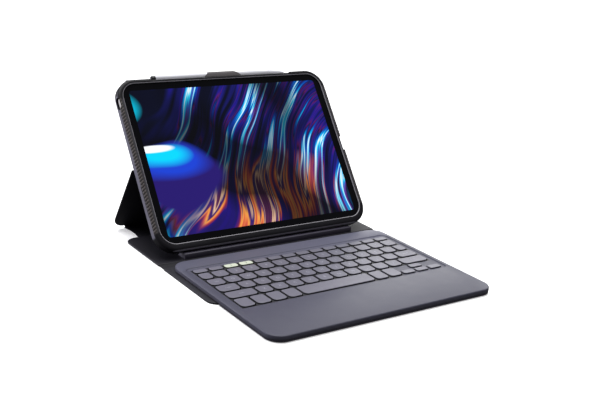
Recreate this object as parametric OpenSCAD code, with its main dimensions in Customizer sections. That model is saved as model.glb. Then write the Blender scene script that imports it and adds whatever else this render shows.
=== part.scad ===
// Folio keyboard case for an 11-inch tablet: bumper case, folding stand, cover and lift-off keyboard.
// Origin: centre of the base panel's underside. +X right, +Y to the back, +Z up, millimetres.

/* [Stand] */
// Lean of the tablet back from vertical, degrees
lean = 37.4; // [35:0.2:40]
// Length of the kick panel between its two folds
kick_len = 91; // [89:0.5:92]

/* [Cover] */
// Width of the base panel and the keyboard flap
cover_w = 261.8; // [258:0.2:264]
// Thickness of a covered panel
cover_t = 2; // [2:0.1:2.2]
// Radius of the outer corners of the panels
cover_r = 12; // [8:1:16]
// Back edge of the base panel
base_back = 45; // [42:1:48]
// Line of the fold between base panel and keyboard flap
fold_y = -39; // [-39:0.5:-38.5]
// Front edge of the keyboard flap
flap_front = -138; // [-138:1:-120]
// Width of the soft strips between the panels
strip_w = 226; // [216:1:232]

/* [Tablet] */
// Length of the tablet
tablet_w = 247.6; // [247:0.1:248]
// Height of the tablet
tablet_h = 178.5; // [178:0.1:179]
// Thickness of the tablet
tablet_t = 6.1; // [5.9:0.1:6.1]

/* [Case] */
// Thickness of the bumper's side walls
wall_side = 3.5; // [3.2:0.1:3.8]
// Thickness of the bumper's bottom wall
wall_bottom = 4.5; // [4.2:0.1:4.5]
// Thickness of the bumper's top wall at its corners
wall_top = 2.3; // [2.1:0.1:2.6]
// How far the lip reaches over the glass
lip_over = 2.6; // [2.2:0.1:3]
// Length of the stylus
stylus_len = 166; // [160:1:168]
// Diameter of the stylus
stylus_d = 7.3; // [7.1:0.1:7.3]

/* [Keyboard] */
// Width of the keyboard
kb_w = 250.4; // [250:0.2:252]
// Depth of the keyboard
kb_d = 182; // [181:0.5:184]
// Height of the keyboard's top above the surface
kb_top = 6.9; // [6.8:0.1:7.2]
// Radius of the keyboard's corners
kb_r = 15; // [12:0.5:16]
// Pitch of the letter keys from left to right
key_pitch = 16.8; // [16.6:0.1:16.8]
// Pitch of the letter rows from back to front
row_pitch = 16.2; // [16:0.1:16.2]
// Depth of the short function row
fn_pitch = 10; // [9.5:0.1:10]
// Depth of the bottom row
bottom_pitch = 20.2; // [19.5:0.1:20.2]
// Gap between neighbouring key caps
key_gap = 2; // [1.8:0.1:2.4]
// Pitch of the function keys from left to right
fn_key_pitch = 16.6; // [16.4:0.1:16.6]
// Width taken by the tab key
tab_w = 17.7; // [17:0.1:18]
// Width taken by the caps lock key
caps_w = 23.3; // [22:0.1:24]
// Width taken by the left shift key
shift_w = 31.7; // [30:0.1:32]

/* [Hidden] */

$fn = 48;
eps = 0.01;
joint_gap = 0.2;

// tablet frame: x right, y up along the screen, z out of the glass
lip_t = 1.5;
fit_gap = 0.1;
back_t = 1.9;
tablet_r = 18;
case_x = tablet_w / 2 + wall_side;
case_low = -tablet_h / 2 - wall_bottom;
case_high = tablet_h / 2 + wall_top;
case_mid = (case_low + case_high) / 2;
case_tall = case_high - case_low;
case_r = tablet_r + wall_side;
ledge_z = -tablet_t - 0.2;
shell_z = ledge_z - back_t;
window_w = tablet_w - 2 * lip_over;
window_h = tablet_h - 2 * lip_over - 0.7;
window_r = tablet_r - lip_over;
plate_w = tablet_w - 4;
plate_h = tablet_h - 4;
plate_r = tablet_r - 2;

// stylus channel along the top edge
channel_x = stylus_len / 2 + 3.5;
channel_floor = tablet_h / 2 - 0.05;
channel_lip = tablet_h / 2 + 0.35;
stylus_y = tablet_h / 2 + 3.7;
stylus_z = -4.6;
stylus_flat = tablet_h / 2 + 0.2;
cap_len = 5;
tip_len = 22;
stylus_left = -stylus_len / 2 - 1;
stylus_right = stylus_left + stylus_len;

// the case's lower back edge rests in the ridge, which sets where the screen stands
lean_s = sin(lean);
lean_c = cos(lean);
ridge_front = -32;
ridge_top = 7.5;
rest_y = ridge_front + 9.57;
rest_z = 5.54;
rest_gap = 0.35;
screen_y = rest_y - lean_s * case_low + lean_c * shell_z;
screen_z = rest_z - lean_c * case_low - lean_s * shell_z;
slope_y = rest_y - rest_gap * lean_s;
slope_z = rest_z - rest_gap * lean_c;

// openings in the side walls
port_w = 17;
slot_len = 33;
slot_w = 1.3;
slot_mid = 39;
slot_z = -1.8;
mic_d = 1.6;
power_y = 66.5;
power_len = 9.6;
power_z = -3;
power_slot_w = 7;
power_slot_z = -2.7;
volume_x = -105;
volume_len = 15;
camera_x = -97;
camera_y = 63;
camera_w = 28;
camera_r = 7;
camera_out = 1.5;

// folio back, folds and kick panel
panel_t = 1.8;
panel_z = shell_z - joint_gap - panel_t;
panel_w = 2 * case_x - 3;
fold_half = 2.5;
mid_y = -1;
mid_z = panel_z + panel_t / 2;
back_top = tablet_h / 2 + 0.75;
hinge_y = screen_y + lean_s * mid_y - lean_c * mid_z;
hinge_z = screen_z + lean_c * mid_y + lean_s * mid_z;
ground_z = 1;
kick_y = hinge_y + sqrt(kick_len * kick_len - pow(hinge_z - ground_z, 2));
kick_turn = -asin((hinge_z - ground_z) / kick_len);
fold_r = 0.7;
board_t = 0.8;
board_inset = 8;
board_gap = 0.05;

// cover
strip_t = 1.2;
strip_z = 0.3;
front_half = 5;
base_front = fold_y + front_half;
flap_back = fold_y - front_half;
ridge_w = 203;
magnet_t = 1;
flap_magnet_x = 78;
flap_magnet_y = flap_back - 22;
flap_magnet_w = 24;
flap_magnet_d = 8;

// clasp over the stylus: a band round it, from a root at the back to a hem at the front
clasp_low_w = 44;
clasp_high_w = 31.2;
clasp_t = 0.65;
clasp_inner = stylus_d / 2 + 0.2;
clasp_outer = clasp_inner + clasp_t;
clasp_hem = channel_lip + 0.5;
clasp_wide_y = clasp_hem + 1.1;
clasp_narrow_y = clasp_hem + 6;
clasp_top = stylus_y + clasp_outer;
clasp_foot = stylus_y - 0.35;
root_y = clasp_foot - 0.7;
root_low = back_top + 0.2;
root_w = 30;

// keyboard
kb_back = -45.5;
kb_front = kb_back - kb_d;
kb_mid = (kb_back + kb_front) / 2;
kb_low = cover_t + joint_gap;
split_z = 3.4;
step_y = flap_front - 1;
foot_t = 0.6;
shell_wall = 1.6;
roof_t = 1.2;
well_w = 240.6;
well_back = -64.4;
well_front = -167.3;
well_r = 6;
well_z = kb_top - 0.9;
deck_z = well_z - 1.4;
cap_low = deck_z + 0.3;
cap_high = kb_top + 0.15;
cap_r = 2;
pocket_gap = 0.35;
block_back = -69.4;
block_w = 14 * fn_key_pitch;
hollow_back = -172;
cell_w = 92;
cell_d = 42;
cell_x = 62;
port_y = -205;
port_z = 3.3;
port_len = 7;
usb_w = 9;
usb_h = 3;
switch_y = -186;
switch_len = 4;
switch_travel = 3;
switch_h = 1.6;
kb_side = kb_w / 2;
membrane_t = 0.25;
kb_magnet_z = kb_low + 0.15;

// front edge of each row's cells, counted from the back
row_front = [
    block_back - fn_pitch,
    block_back - fn_pitch - row_pitch,
    block_back - fn_pitch - 2 * row_pitch,
    block_back - fn_pitch - 3 * row_pitch,
    block_back - fn_pitch - 4 * row_pitch,
    block_back - fn_pitch - 4 * row_pitch - bottom_pitch
];
row_depth = [fn_pitch, row_pitch, row_pitch, row_pitch, row_pitch, bottom_pitch];

function repeat(value, count) = [for (i = [1:count]) value];
function sum_to(v, n, i = 0) = i >= n ? 0 : v[i] + sum_to(v, n, i + 1);
function closed(first, count) =
    concat([first], repeat(key_pitch, count), [block_w - first - count * key_pitch]);

// width of every cell, row by row
cells = [
    repeat(fn_key_pitch, 14),
    concat([block_w - 13 * key_pitch], repeat(key_pitch, 13)),
    closed(tab_w, 12),
    closed(caps_w, 11),
    closed(shift_w, 10),
    concat(repeat(fn_key_pitch, 4), [5 * fn_key_pitch], repeat(fn_key_pitch, 5))
];

// ---- shared outlines ----

module rounded(w, d, r) {
    square([w - 2 * r, d], center = true);
    square([w, d - 2 * r], center = true);
    for (x = [-1, 1])
        for (y = [-1, 1])
            translate([x * (w / 2 - r), y * (d / 2 - r)])
                circle(r);
}

// a sheet from y = 0, with its two far corners rounded
module panel_outline(w, l, r) {
    translate([-w / 2, 0])
        square([w, l - r]);
    translate([-w / 2 + r, 0])
        square([w - 2 * r, l]);
    for (x = [-1, 1])
        translate([x * (w / 2 - r), l - r])
            circle(r);
}

module panel(w, l, r, t) {
    linear_extrude(t)
        panel_outline(w, l, r);
}

module board_space(w, l, t, gap) {
    translate([-w / 2 + board_inset - gap, board_inset - gap, (t - board_t) / 2 - gap])
        cube([w - 2 * board_inset + 2 * gap, l - 2 * board_inset + 2 * gap, board_t + 2 * gap]);
}

module stiff_panel(w, l, r, t) {
    difference() {
        panel(w, l, r, t);
        board_space(w, l, t, board_gap);
    }
}

module in_case() {
    translate([0, screen_y, screen_z])
        rotate([90 - lean, 0, 0])
            children();
}

// along the kick panel: y runs down from the middle fold, z points out of its back
module in_kick() {
    translate([0, hinge_y, hinge_z])
        rotate([kick_turn, 0, 0])
            children();
}

// a profile drawn in the case's y and z, pulled out along x
module across(w) {
    rotate([90, 0, 90])
        translate([0, 0, -w / 2])
            linear_extrude(w)
                children();
}

module rod_along_x(w, r) {
    rotate([0, 90, 0])
        cylinder(h = w, r = r, center = true);
}

// ---- cover ----

module base_at() {
    translate([0, base_front, 0])
        children();
}

module flap_at() {
    translate([0, flap_back, 0])
        mirror([0, 1, 0])
            children();
}

module base_panel() {
    color("#3b3940")
        base_at()
            stiff_panel(cover_w, base_back - base_front, cover_r, cover_t);
}

module base_stiffener() {
    color("#8c8a7c")
        base_at()
            board_space(cover_w, base_back - base_front, cover_t, 0);
}

module support_ridge() {
    color("#5b5964")
        difference() {
            across(ridge_w)
                polygon([
                    [ridge_front, cover_t],
                    [ridge_front, ridge_top - 0.6],
                    [ridge_front + 0.6, ridge_top],
                    [slope_y - (ridge_top - slope_z) / tan(lean), ridge_top],
                    [slope_y, slope_z],
                    [ridge_front + 11, slope_z - 0.15],
                    [ridge_front + 15, cover_t]
                ]);
            magnet_bars(board_gap);
        }
}

module magnet_bars(gap) {
    for (x = [-60, 0, 60])
        translate([x - 20 - gap, ridge_front + 1.8 - gap, cover_t + 0.9 - gap])
            cube([40 + 2 * gap, 5 + 2 * gap, 2 + 2 * gap]);
}

module ridge_magnets() {
    color("#b8bcc0")
        magnet_bars(0);
}

module spine_strip() {
    color("#34323a")
        translate([-strip_w / 2, base_back, strip_z])
            cube([strip_w, kick_y - base_back - 1, strip_t]);
}

module rear_fold() {
    color("#34323a")
        translate([0, kick_y, ground_z])
            rod_along_x(strip_w, fold_r);
}

module front_fold() {
    color("#4a4850")
        translate([-cover_w / 2 + 0.5, flap_back + joint_gap, strip_z])
            cube([cover_w - 1, base_front - flap_back - joint_gap, strip_t]);
}

module flap_panel() {
    color("#3b3940")
        difference() {
            flap_at()
                stiff_panel(cover_w, flap_back - flap_front, cover_r, cover_t);
            flap_magnet_spots(cover_t - magnet_t, magnet_t + eps);
        }
}

module flap_stiffener() {
    color("#8c8a7c")
        difference() {
            flap_at()
                board_space(cover_w, flap_back - flap_front, cover_t, 0);
            flap_magnet_spots(0, cover_t);
        }
}

module flap_magnet_spots(z, t) {
    for (x = [-1, 1])
        for (y = [0, -46])
            translate([x * flap_magnet_x, flap_magnet_y + y, z])
                linear_extrude(t)
                    rounded(flap_magnet_w, flap_magnet_d, 1);
}

module flap_magnets() {
    color("#b8bcc0")
        flap_magnet_spots(cover_t - magnet_t, magnet_t - 0.05);
}

// ---- stand ----

kick_panel_len = kick_len - 2 * fold_half;

module kick_at() {
    in_kick()
        translate([0, fold_half, -cover_t / 2])
            children();
}

module kick_panel() {
    color("#3b3940")
        kick_at()
            stiff_panel(2 * case_x, kick_panel_len, cover_r, cover_t);
}

module kick_stiffener() {
    color("#8c8a7c")
        kick_at()
            board_space(2 * case_x, kick_panel_len, cover_t, 0);
}

module mid_fold() {
    color("#34323a")
        in_kick()
            rod_along_x(panel_w, fold_r);
}

module back_at() {
    in_case()
        translate([0, mid_y + fold_half, panel_z])
            children();
}

module camera_hole(w, r, t) {
    translate([camera_x, camera_y, 0])
        linear_extrude(t, center = true)
            rounded(w, w, r);
}

module back_panel() {
    color("#3b3940")
        difference() {
            back_at()
                stiff_panel(panel_w, back_top - mid_y - fold_half, case_r - 3, panel_t);
            in_case()
                camera_hole(camera_w + 7, camera_r + 3.5, 40);
        }
}

module back_stiffener() {
    color("#8c8a7c")
        difference() {
            back_at()
                board_space(panel_w, back_top - mid_y - fold_half, panel_t, 0);
            in_case()
                camera_hole(camera_w + 11, camera_r + 5.5, 40);
            in_case()
                camera_corner();
        }
}

// the board stops short of the camera hole's outer corner
module camera_corner() {
    translate([-panel_w / 2, camera_y - camera_w / 2 - 6, panel_z - 1])
        cube([panel_w / 2 + camera_x + 20, 60, panel_t + 2]);
}

// ---- bumper case ----

module case_outline(inset) {
    translate([0, case_mid])
        rounded(2 * case_x - 2 * inset, case_tall - 2 * inset, case_r - inset);
}

module case_back() {
    color("#2d2b31")
        in_case()
            difference() {
                translate([0, 0, shell_z])
                    linear_extrude(back_t)
                        rounded(plate_w, plate_h, plate_r);
                camera_hole(camera_w + 3, camera_r + 1.5, 40);
            }
}

// the frame's shell, before its openings are cut: its front edge is rounded over in steps
front_steps = [[0, -1.1], [0.5, -0.1], [1.2, 0.6], [2.2, 1.1], [3.4, lip_t]];

module bumper_body() {
    translate([0, 0, shell_z])
        linear_extrude(0.3 + eps)
            case_outline(0.4);
    for (step = front_steps)
        translate([0, 0, shell_z + 0.3])
            linear_extrude(step[1] - shell_z - 0.3)
                case_outline(step[0]);
}

module wall_slot(x, y, len, w, z) {
    translate([x, y, z])
        rotate([0, 90, 0])
            linear_extrude(2 * wall_side + 2, center = true)
                rounded(w, len, w / 2 - 0.01);
}

module side_openings() {
    for (x = [-1, 1]) {
        for (y = [-1, 1])
            wall_slot(x * case_x, y * slot_mid, slot_len, slot_w, slot_z);
    }
    translate([-case_x, 0, slot_z])
        rod_along_x(2 * wall_side + 2, mic_d / 2);
    translate([case_x, 0, -1.5])
        cube([2 * wall_side, port_w, 10], center = true);
    wall_slot(-case_x - 1.1, power_y, power_len + 3.4, power_slot_w, power_slot_z);
}

module volume_window(gap) {
    translate([volume_x, tablet_h / 2 + 1, -3])
        rotate([90, 0, 0])
            linear_extrude(6, center = true)
                rounded(volume_len + 2 * gap, 3.2 + 2 * gap, 1.5 + gap);
}

module bumper_frame() {
    color("#2f2d33")
        in_case() {
            clasp_root();
            difference() {
                bumper_body();
                translate([0, 0, ledge_z])
                    linear_extrude(fit_gap - ledge_z)
                        rounded(tablet_w + 2 * fit_gap, tablet_h + 2 * fit_gap, tablet_r + fit_gap);
                translate([0, 0, -eps])
                    linear_extrude(lip_t + 1)
                        rounded(window_w, window_h, window_r);
                translate([0, 0, shell_z - 1])
                    linear_extrude(back_t + 2)
                        rounded(plate_w + 2 * fit_gap, plate_h + 2 * fit_gap, plate_r + fit_gap);
                translate([-channel_x, channel_floor, shell_z - 1])
                    cube([2 * channel_x, 10, fit_gap - shell_z + 1]);
                translate([-channel_x, channel_lip, 0])
                    cube([2 * channel_x, 10, lip_t + 1]);
                side_openings();
                volume_window(joint_gap);
            }
        }
}

module volume_rocker() {
    color("#2f2d33")
        in_case()
            intersection() {
                volume_window(0);
                translate([volume_x - 10, tablet_h / 2 + 0.7, -6])
                    cube([20, wall_top - 0.5, 6]);
            }
}

module clasp_root() {
    back = stylus_z - clasp_outer;
    across(root_w)
        polygon([
            [channel_floor - 0.5, shell_z], [root_low, shell_z], [root_low, back],
            [root_y, back], [root_y, back + clasp_t], [root_low + 1.2, shell_z],
            [root_low + 0.7, shell_z + 0.3], [channel_floor - 0.5, shell_z + 0.3]
        ]);
}

module clasp_band(r) {
    translate([stylus_y, stylus_z])
        circle(r);
    translate([clasp_hem - 5, stylus_z - r])
        square([stylus_y - clasp_hem + 5, 2 * r]);
}

module clasp_profile() {
    difference() {
        clasp_band(clasp_outer);
        clasp_band(clasp_inner);
        translate([clasp_hem - 10, stylus_z])
            square([10, 10]);
        translate([clasp_foot - 10, stylus_z - 10])
            square([10, 10.5]);
    }
}

module stylus_clasp() {
    color("#4b4748")
        in_case()
            intersection() {
                across(clasp_low_w + 2)
                    clasp_profile();
                translate([0, 0, -20])
                    linear_extrude(40)
                        polygon([
                            [-clasp_low_w / 2, clasp_wide_y],
                            [-clasp_low_w / 2, clasp_hem - 1],
                            [clasp_low_w / 2, clasp_hem - 1],
                            [clasp_low_w / 2, clasp_wide_y],
                            [clasp_high_w / 2, clasp_narrow_y],
                            [clasp_high_w / 2, clasp_top + 1],
                            [-clasp_high_w / 2, clasp_top + 1],
                            [-clasp_high_w / 2, clasp_narrow_y]
                        ]);
            }
}

// ---- stylus ----

module stylus_shape(x0, x1) {
    difference() {
        translate([(x0 + x1) / 2, stylus_y, stylus_z])
            rod_along_x(x1 - x0, stylus_d / 2);
        translate([x0 - 1, stylus_flat - stylus_d, stylus_z - stylus_d])
            cube([x1 - x0 + 2, stylus_d, 2 * stylus_d]);
    }
}

module stylus_barrel() {
    color("#f2f2f0")
        in_case()
            stylus_shape(stylus_left + cap_len, stylus_right - tip_len);
}

module stylus_cap() {
    color("#26262a")
        in_case()
            stylus_shape(stylus_left, stylus_left + cap_len);
}

module stylus_tip() {
    color("#e8e8e6")
        in_case()
            translate([stylus_right - tip_len, stylus_y, stylus_z])
                rotate([90, 0, 90])
                    intersection() {
                        cylinder(h = tip_len, r1 = stylus_d / 2, r2 = 0.9);
                        translate([stylus_flat - stylus_y, -stylus_d])
                            cube([2 * stylus_d, 2 * stylus_d, tip_len]);
                    }
}

// ---- tablet ----

module tablet_housing() {
    color("#9a9ba0")
        in_case()
            difference() {
                translate([0, 0, -tablet_t])
                    linear_extrude(tablet_t - 0.7)
                        rounded(tablet_w, tablet_h, tablet_r);
                power_key(joint_gap, 1.2);
            }
}

module tablet_glass() {
    color("#101014")
        in_case()
            translate([0, 0, -0.7])
                linear_extrude(0.7)
                    rounded(tablet_w - 0.6, tablet_h - 0.6, tablet_r - 0.3);
}

module power_key(gap, depth) {
    translate([-tablet_w / 2 - 0.5, power_y, power_z])
        rotate([0, 90, 0])
            linear_extrude(depth + 0.5)
                rounded(2.4 + 2 * gap, power_len + 2 * gap, 1.19 + gap);
}

module tablet_power_button() {
    color("#c9cacd")
        in_case()
            power_key(0, 0.6);
}

module tablet_camera() {
    color("#3f4046")
        in_case()
            difference() {
                translate([camera_x, camera_y, -tablet_t - camera_out])
                    linear_extrude(camera_out)
                        rounded(camera_w, camera_w, camera_r);
                for (p = [[-6, 6], [6, -6]])
                    translate([camera_x + p[0], camera_y + p[1], -tablet_t - camera_out - eps])
                        cylinder(h = 0.4, r = 4.6);
            }
}

// ---- keyboard shells ----

module kb_outline(inset) {
    translate([0, kb_mid])
        rounded(kb_w - 2 * inset, kb_d - 2 * inset, kb_r - inset);
}

module side_cuts() {
    translate([kb_side - port_len - 0.1, port_y - usb_w / 2 - 0.1, port_z - usb_h / 2 - 0.1])
        cube([port_len + 1, usb_w + 0.2, usb_h + 0.2]);
    translate([kb_side - 3, switch_y - switch_len / 2 - 0.3, split_z + 0.4])
        cube([4, switch_len + switch_travel + 0.6, switch_h + 0.4]);
}

module kb_top_case() {
    color("#8d8c99")
        difference() {
            translate([0, 0, split_z])
                linear_extrude(kb_top - split_z)
                    kb_outline(0);
            translate([0, (well_back + well_front) / 2, well_z])
                linear_extrude(2)
                    rounded(well_w, well_back - well_front, well_r);
            translate([-well_w / 2, hollow_back, split_z - eps])
                cube([well_w, well_back - hollow_back, deck_z - split_z + eps]);
            translate([-well_w / 2, kb_front + 8, split_z - eps])
                cube([well_w, hollow_back - kb_front - 8 + eps, kb_top - roof_t - split_z]);
            all_pockets();
            side_cuts();
        }
}

module kb_bottom_case() {
    color("#56555f")
        difference() {
            union() {
                translate([0, 0, kb_low])
                    linear_extrude(split_z - kb_low)
                        kb_outline(0);
                intersection() {
                    translate([0, 0, foot_t])
                        linear_extrude(split_z - foot_t)
                            kb_outline(0.3);
                    translate([-kb_w, kb_front - 1, 0])
                        cube([2 * kb_w, step_y - kb_front + 1, split_z]);
                }
            }
            translate([-well_w / 2, kb_front + 8, foot_t + 1])
                cube([well_w, hollow_back - kb_front - 8, split_z]);
            side_cuts();
            kb_magnet_spots(0.05);
        }
}

module kb_feet() {
    color("#1f1f22")
        for (x = [-1, 1])
            for (y = [step_y - 12, kb_front + 14])
                translate([x * 96, y, 0])
                    linear_extrude(foot_t)
                        rounded(34, 6, 2.9);
}

module kb_battery() {
    color("#a9abb0")
        for (x = [-cell_x, cell_x])
            translate([x - cell_w / 2, kb_front + 9.5, foot_t + 1.1])
                cube([cell_w, cell_d, 3]);
}

module kb_circuit_board() {
    color("#1d5c3a")
        difference() {
            translate([-12, kb_front + 9.5, foot_t + 1.1])
                cube([24, 42, 1]);
            translate([0, kb_front + 30, foot_t])
                cylinder(h = 4, r = 1.6);
        }
}

module key_membrane() {
    color("#cfd2c9")
        translate([0, (block_back + row_front[5]) / 2, split_z])
            linear_extrude(membrane_t)
                rounded(block_w, block_back - row_front[5], 2);
}

module charge_port() {
    color("#b4b7bb")
        translate([kb_side - port_len, port_y, port_z])
            rotate([0, 90, 0])
                linear_extrude(port_len - 0.3)
                    difference() {
                        rounded(usb_h, usb_w, usb_h / 2 - 0.01);
                        rounded(usb_h - 0.6, usb_w - 0.6, usb_h / 2 - 0.31);
                    }
}

module kb_power_switch() {
    color("#3d8f57")
        translate([kb_side - 2.6, switch_y - switch_len / 2, split_z + 0.6])
            cube([2.4, switch_len, switch_h]);
}

module kb_magnet_spots(gap) {
    for (x = [-1, 1])
        for (y = [0, -46])
            translate([x * flap_magnet_x, flap_magnet_y + y, kb_magnet_z - gap])
                linear_extrude(magnet_t + gap)
                    rounded(flap_magnet_w + 2 * gap, flap_magnet_d + 2 * gap, 1 + gap);
}

module kb_magnets() {
    color("#b8bcc0")
        kb_magnet_spots(0);
}

// ---- keys ----

// the cell of one key: low and high say which part of the cell's depth it takes
module key_shape(row, i, low, high, inset, z0, z1, r) {
    x0 = sum_to(cells[row], i) - block_w / 2;
    w = cells[row][i];
    d = row_depth[row];
    translate([x0 + w / 2, row_front[row] + d * (low + high) / 2, z0])
        linear_extrude(z1 - z0)
            rounded(w - 2 * inset, d * (high - low) - 2 * inset, r);
}

module key(row, i, low = 0, high = 1) {
    key_shape(row, i, low, high, key_gap / 2, cap_low, cap_high, cap_r);
}

module pocket(row, i, low = 0, high = 1) {
    key_shape(
        row, i, low, high, key_gap / 2 - pocket_gap, deck_z - eps, kb_top + 1, cap_r + pocket_gap
    );
}

module key_run(row, first, last) {
    color("#a5a4b2")
        for (i = [first:last])
            key(row, i);
}

module pale_key(row, i) {
    color("#dfe2d0")
        key(row, i);
}

module all_pockets() {
    for (row = [0:4])
        for (i = [0:len(cells[row]) - 1])
            pocket(row, i);
    for (i = [0:6])
        pocket(5, i);
    for (i = [7:9])
        pocket(5, i, 0, 0.5);
    pocket(5, 8, 0.5, 1);
}

module function_keys() {
    key_run(0, 0, 1);
    key_run(0, 4, 13);
}

module device_key_1() {
    pale_key(0, 2);
}

module device_key_2() {
    pale_key(0, 3);
}

module number_keys() {
    key_run(1, 0, 12);
}

module delete_key() {
    key_run(1, 13, 13);
}

module tab_key() {
    key_run(2, 0, 0);
}

module upper_letter_keys() {
    key_run(2, 1, 13);
}

module caps_key() {
    key_run(3, 0, 0);
}

module home_letter_keys() {
    key_run(3, 1, 11);
}

module enter_key() {
    key_run(3, 12, 12);
}

module left_shift_key() {
    key_run(4, 0, 0);
}

module lower_letter_keys() {
    key_run(4, 1, 10);
}

module right_shift_key() {
    key_run(4, 11, 11);
}

module bottom_key(i, low = 0, high = 1) {
    color("#a5a4b2")
        key(5, i, low, high);
}

base_panel();
base_stiffener();
support_ridge();
ridge_magnets();
spine_strip();
rear_fold();
front_fold();
flap_panel();
flap_stiffener();
flap_magnets();
kick_panel();
kick_stiffener();
mid_fold();
back_panel();
back_stiffener();
case_back();
bumper_frame();
volume_rocker();
stylus_clasp();
stylus_barrel();
stylus_cap();
stylus_tip();
tablet_housing();
tablet_glass();
tablet_camera();
tablet_power_button();
kb_top_case();
kb_bottom_case();
kb_feet();
kb_battery();
kb_circuit_board();
key_membrane();
charge_port();
kb_power_switch();
kb_magnets();
function_keys();
device_key_1();
device_key_2();
number_keys();
delete_key();
tab_key();
upper_letter_keys();
caps_key();
home_letter_keys();
enter_key();
left_shift_key();
lower_letter_keys();
right_shift_key();
bottom_key(0);  // globe_key
bottom_key(1);  // control_key
bottom_key(2);  // option_key
bottom_key(3);  // left_command_key
bottom_key(4);  // space_bar
bottom_key(5);  // right_command_key
bottom_key(6);  // right_option_key
bottom_key(7, 0, 0.5);  // left_arrow_key
bottom_key(8, 0.5, 1);  // up_arrow_key
bottom_key(8, 0, 0.5);  // down_arrow_key
bottom_key(9, 0, 0.5);  // right_arrow_key
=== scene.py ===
import math

import bmesh
import bpy
from mathutils import Matrix, Vector


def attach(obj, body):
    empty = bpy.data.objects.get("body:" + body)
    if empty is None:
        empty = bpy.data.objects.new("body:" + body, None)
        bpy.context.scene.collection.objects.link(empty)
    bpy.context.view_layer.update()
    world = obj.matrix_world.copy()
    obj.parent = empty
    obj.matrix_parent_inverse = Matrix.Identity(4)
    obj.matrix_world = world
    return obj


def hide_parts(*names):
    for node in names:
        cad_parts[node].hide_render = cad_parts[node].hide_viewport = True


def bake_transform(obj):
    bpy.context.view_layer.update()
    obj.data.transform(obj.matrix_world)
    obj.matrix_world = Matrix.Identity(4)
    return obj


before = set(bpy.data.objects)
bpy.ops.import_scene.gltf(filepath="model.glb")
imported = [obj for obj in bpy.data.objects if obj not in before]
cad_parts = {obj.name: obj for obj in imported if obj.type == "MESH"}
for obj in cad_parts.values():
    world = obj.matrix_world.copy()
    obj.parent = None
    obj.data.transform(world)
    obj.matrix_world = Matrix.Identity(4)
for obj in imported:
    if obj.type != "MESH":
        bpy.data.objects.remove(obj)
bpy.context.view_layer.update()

# Sizes are in millimetres here and are scaled as each mesh is made.
MM = 0.001
LEAN = math.radians(37.4)
SCREEN = Vector((0, 27.9973, 84.9969))
MID_FOLD = Vector((0, 34.778, 78.5538))
REAR_FOLD = Vector((0, 82.3847, 1.0))
KICK_LEN, FOLD_HALF = 91.0, 2.5
CASE = Matrix.Translation(SCREEN) @ Matrix.Rotation(math.pi / 2 - LEAN, 4, "X")
KICK_ANGLE = math.atan2(REAR_FOLD.z - MID_FOLD.z, REAR_FOLD.y - MID_FOLD.y)
KICK = Matrix.Translation(MID_FOLD) @ Matrix.Rotation(KICK_ANGLE, 4, "X")
WORLD = Matrix.Identity(4)
COVER_W, COVER_T, COVER_R = 261.8, 2.0, 12.0
BASE_FRONT, BASE_LEN = -34.0, 79.0
FLAP_FRONT, FLAP_LEN = -138.0, 94.0
CASE_W, CASE_D, CASE_MID, CASE_R = 254.6, 185.3, -1.1, 21.5
SHELL_Z, LIP_Z = -8.2, 1.5
TABLET_SIDE = 123.8
POWER_U, POWER_N = 66.5, -2.7
STYLUS_U, STYLUS_N, STYLUS_R = 92.95, -4.6, 3.65
STYLUS_X0, STYLUS_X1 = -84.0, 82.0
KB_W, KB_D, KB_R, KB_MID = 250.4, 182.0, 15.0, -136.5
KB_TOP_Z, SPLIT_Z, WELL_Z = 6.9, 3.4, 6.0
PITCH, FN_PITCH, BLOCK_W = 16.8, 16.6, 232.4
ROW_DEPTH = [10.0, 16.2, 16.2, 16.2, 16.2, 20.2]
ROW_BACK = -69.4


# ---- mesh helpers ----

def mesh_object(name, verts, faces, place=WORLD, angle=30):
    """A mesh from points in mm of a local frame, smooth except at edges sharper than angle degrees."""
    mesh = bpy.data.meshes.new(name)
    mesh.from_pydata([(place @ Vector(v)) * MM for v in verts], [], faces)
    mesh.validate()
    obj = bpy.data.objects.new(name, mesh)
    bpy.context.scene.collection.objects.link(obj)
    tidy_normals(obj, angle)
    return obj


def tidy_normals(obj, angle=30):
    bm = bmesh.new()
    bm.from_mesh(obj.data)
    bmesh.ops.recalc_face_normals(bm, faces=bm.faces)
    bm.to_mesh(obj.data)
    bm.free()
    obj.data.shade_smooth()
    obj.data.set_sharp_from_angle(angle=math.radians(angle))


def outline(w, d, radii, centre=(0, 0), n=16):
    """Rounded rectangle, anticlockwise from the +x +y corner; radii is one number or four."""
    if not isinstance(radii, (tuple, list)):
        radii = (radii,) * 4
    points = []
    for k, (sx, sy) in enumerate(((1, 1), (-1, 1), (-1, -1), (1, -1))):
        r = max(radii[k], 0.05)
        cx, cy = centre[0] + sx * (w / 2 - r), centre[1] + sy * (d / 2 - r)
        for i in range(n + 1):
            a = math.pi / 2 * (k + i / n)
            points.append((cx + r * math.cos(a), cy + r * math.sin(a)))
    return points


def ring(w, d, radii, z, inset=0.0, centre=(0, 0), n=16):
    if isinstance(radii, (tuple, list)):
        inner = [max(r - inset, 0.05) for r in radii]
    else:
        inner = max(radii - inset, 0.05)
    return [(x, y, z) for x, y in outline(w - 2 * inset, d - 2 * inset, inner, centre, n)]


def loft(rings, loop=False):
    """Joins rings of equally many points; the ends are capped unless loop closes them onto each other."""
    n = len(rings[0])
    verts = [p for r in rings for p in r]
    faces = []
    count = len(rings) if loop else len(rings) - 1
    for k in range(count):
        a, b = k * n, ((k + 1) % len(rings)) * n
        for i in range(n):
            j = (i + 1) % n
            faces.append((a + i, a + j, b + j, b + i))
    if not loop:
        faces.append(tuple(range(n - 1, -1, -1)))
        faces.append(tuple(range((len(rings) - 1) * n, len(rings) * n)))
    return verts, faces


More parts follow.
